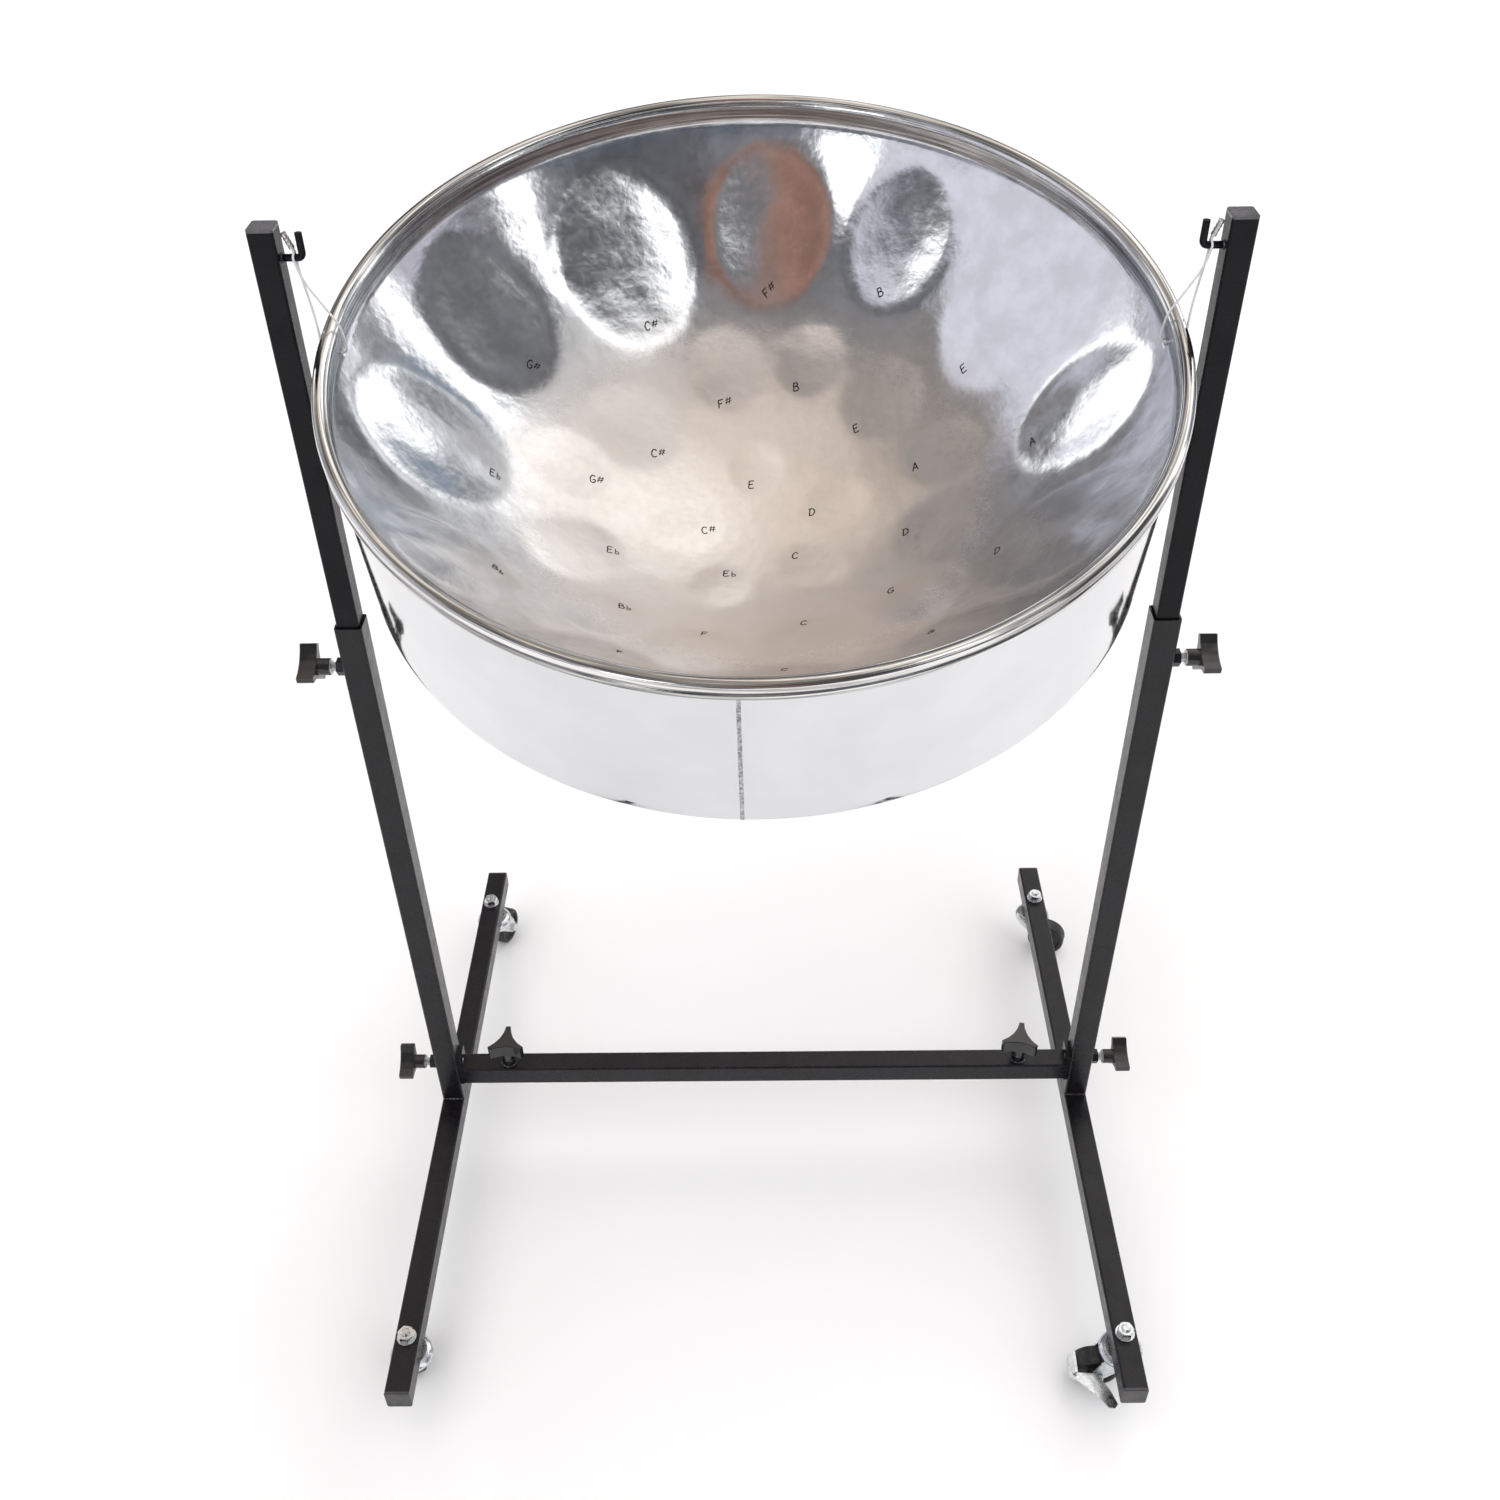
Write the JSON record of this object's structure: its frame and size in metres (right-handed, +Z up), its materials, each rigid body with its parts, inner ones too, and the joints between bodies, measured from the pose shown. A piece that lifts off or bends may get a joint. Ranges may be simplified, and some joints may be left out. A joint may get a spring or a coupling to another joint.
{
  "type": "steel pan in stand",
  "caption": "Chromed steel pan with hammered notes, hung on nylon strings between the telescopic posts of a black tube stand on casters.",
  "frame": {"origin": "on the floor, midway between the two foot bars and between the front and rear casters", "axes": "+X from the left leg to the right leg as the player sees them, -Y towards the player, +Z up; millimetres in the source, metres in this record"},
  "size_m": [0.7336, 0.65, 0.9784],
  "materials": {
    "bowl_chrome": "bright nickel-chrome plating over hammered steel",
    "skirt_chrome": "bright nickel-chrome plating",
    "weld_grey": "rough plated weld line",
    "nylon": "clear nylon line",
    "sleeve_aluminium": "crimped bare aluminium",
    "knob_plastic": "semi-gloss moulded nylon",
    "cap_plastic": "moulded polyethylene",
    "wheel_rubber": "moulded black wheel",
    "zinc_plate": "bright zinc plating on pressed steel",
    "black_powder_coat": "satin black powder coat"
  },
  "bodies": {
    "root": {"left_foot_bar": "black_powder_coat", "right_foot_bar": "black_powder_coat", "foot_end_caps": "cap_plastic", "left_lower_post": "black_powder_coat", "right_lower_post": "black_powder_coat", "crossbar": "black_powder_coat", "left_crossbar_stub": "black_powder_coat", "right_crossbar_stub": "black_powder_coat", "weld_nuts": "black_powder_coat", "caster_races": "zinc_plate", "caster_stem_bolts": "zinc_plate", "caster_washers": "zinc_plate", "caster_nuts": "zinc_plate", "caster_bearing_balls": "zinc_plate"},
    "left_mast": {"left_upper_post": "black_powder_coat", "left_post_cap": "cap_plastic", "left_hook": "black_powder_coat"},
    "right_mast": {"right_upper_post": "black_powder_coat", "right_post_cap": "cap_plastic", "right_hook": "black_powder_coat"},
    "pan": {"pan_bowl": "bowl_chrome", "pan_skirt": "skirt_chrome", "chime_rim": "skirt_chrome", "skirt_weld_seam": "weld_grey", "left_hang_string": "nylon", "right_hang_string": "nylon", "left_crimp_sleeve": "sleeve_aluminium", "right_crimp_sleeve": "sleeve_aluminium"},
    "left_mast_knob": {"left_mast_knob_grip": "knob_plastic", "left_mast_knob_stud": "zinc_plate"},
    "left_leg_knob": {"left_leg_knob_grip": "knob_plastic", "left_leg_knob_stud": "zinc_plate"},
    "left_crossbar_knob": {"left_crossbar_knob_grip": "knob_plastic", "left_crossbar_knob_stud": "zinc_plate"},
    "right_mast_knob": {"right_mast_knob_grip": "knob_plastic", "right_mast_knob_stud": "zinc_plate"},
    "right_leg_knob": {"right_leg_knob_grip": "knob_plastic", "right_leg_knob_stud": "zinc_plate"},
    "right_crossbar_knob": {"right_crossbar_knob_grip": "knob_plastic", "right_crossbar_knob_stud": "zinc_plate"},
    "front_left_caster": {"front_left_fork": "zinc_plate", "front_left_axle": "zinc_plate"},
    "front_left_roller": {"front_left_wheel": "wheel_rubber"},
    "front_right_caster": {"front_right_fork": "zinc_plate", "front_right_axle": "zinc_plate"},
    "front_right_roller": {"front_right_wheel": "wheel_rubber"},
    "brake": {"front_right_brake_lever": "zinc_plate"},
    "rear_left_caster": {"rear_left_fork": "zinc_plate", "rear_left_axle": "zinc_plate"},
    "rear_left_roller": {"rear_left_wheel": "wheel_rubber"},
    "rear_right_caster": {"rear_right_fork": "zinc_plate", "rear_right_axle": "zinc_plate"},
    "rear_right_roller": {"rear_right_wheel": "wheel_rubber"}
  },
  "joints": [
    {"name": "left_mast_slide", "type": "slide", "parent": "root", "child": "left_mast", "axis": [0, 0, 1], "range_m": [-0.25, 0.15]},
    {"name": "right_mast_slide", "type": "slide", "parent": "root", "child": "right_mast", "axis": [0, 0, 1], "range_m": [-0.25, 0.15]},
    {"name": "pan_swing", "type": "hinge", "parent": "left_mast", "child": "pan", "pos_m": [-0.3025, 0, 0.951], "axis": [1, 0, 0], "range_deg": [-40, 40]},
    {"name": "left_mast_knob_turn", "type": "hinge", "parent": "root", "child": "left_mast_knob", "pos_m": [-0.345, 0, 0.618], "axis": [-1, 0, 0], "range_deg": [0, 360]},
    {"name": "left_leg_knob_turn", "type": "hinge", "parent": "root", "child": "left_leg_knob", "pos_m": [-0.345, 0, 0.124], "axis": [-1, 0, 0], "range_deg": [0, 360]},
    {"name": "left_crossbar_knob_turn", "type": "hinge", "parent": "root", "child": "left_crossbar_knob", "pos_m": [-0.2575, 0, 0.135], "axis": [0, 0, 1], "range_deg": [0, 360]},
    {"name": "right_mast_knob_turn", "type": "hinge", "parent": "root", "child": "right_mast_knob", "pos_m": [0.345, 0, 0.618], "axis": [1, 0, 0], "range_deg": [0, 360]},
    {"name": "right_leg_knob_turn", "type": "hinge", "parent": "root", "child": "right_leg_knob", "pos_m": [0.345, 0, 0.124], "axis": [1, 0, 0], "range_deg": [0, 360]},
    {"name": "right_crossbar_knob_turn", "type": "hinge", "parent": "root", "child": "right_crossbar_knob", "pos_m": [0.2575, 0, 0.135], "axis": [0, 0, 1], "range_deg": [0, 360]},
    {"name": "front_left_swivel", "type": "hinge", "parent": "root", "child": "front_left_caster", "pos_m": [-0.3195, -0.2725, 0.046], "axis": [0, 0, 1], "continuous": true},
    {"name": "front_left_roll", "type": "hinge", "parent": "front_left_caster", "child": "front_left_roller", "pos_m": [-0.32699, -0.25396, 0.021], "axis": [-0.9272, -0.3746, 0], "continuous": true},
    {"name": "front_right_swivel", "type": "hinge", "parent": "root", "child": "front_right_caster", "pos_m": [0.3195, -0.2725, 0.046], "axis": [0, 0, 1], "continuous": true},
    {"name": "front_right_roll", "type": "hinge", "parent": "front_right_caster", "child": "front_right_roller", "pos_m": [0.29951, -0.2718, 0.021], "axis": [-0.0349, -0.9994, 0], "continuous": true},
    {"name": "brake_press", "type": "hinge", "parent": "front_right_caster", "child": "brake", "pos_m": [0.29951, -0.2718, 0.021], "axis": [-0.0349, -0.9994, 0], "range_deg": [0, 12]},
    {"name": "rear_left_swivel", "type": "hinge", "parent": "root", "child": "rear_left_caster", "pos_m": [-0.3195, 0.2725, 0.046], "axis": [0, 0, 1], "continuous": true},
    {"name": "rear_left_roll", "type": "hinge", "parent": "rear_left_caster", "child": "rear_left_roller", "pos_m": [-0.31349, 0.29157, 0.021], "axis": [-0.9537, 0.3007, 0], "continuous": true},
    {"name": "rear_right_swivel", "type": "hinge", "parent": "root", "child": "rear_right_caster", "pos_m": [0.3195, 0.2725, 0.046], "axis": [0, 0, 1], "continuous": true},
    {"name": "rear_right_roll", "type": "hinge", "parent": "rear_right_caster", "child": "rear_right_roller", "pos_m": [0.33829, 0.26566, 0.021], "axis": [0.342, 0.9397, 0], "continuous": true}
  ],
  "couplings": [
    {"joint": "right_mast_slide", "follows": "left_mast_slide", "ratio": 1}
  ]
}
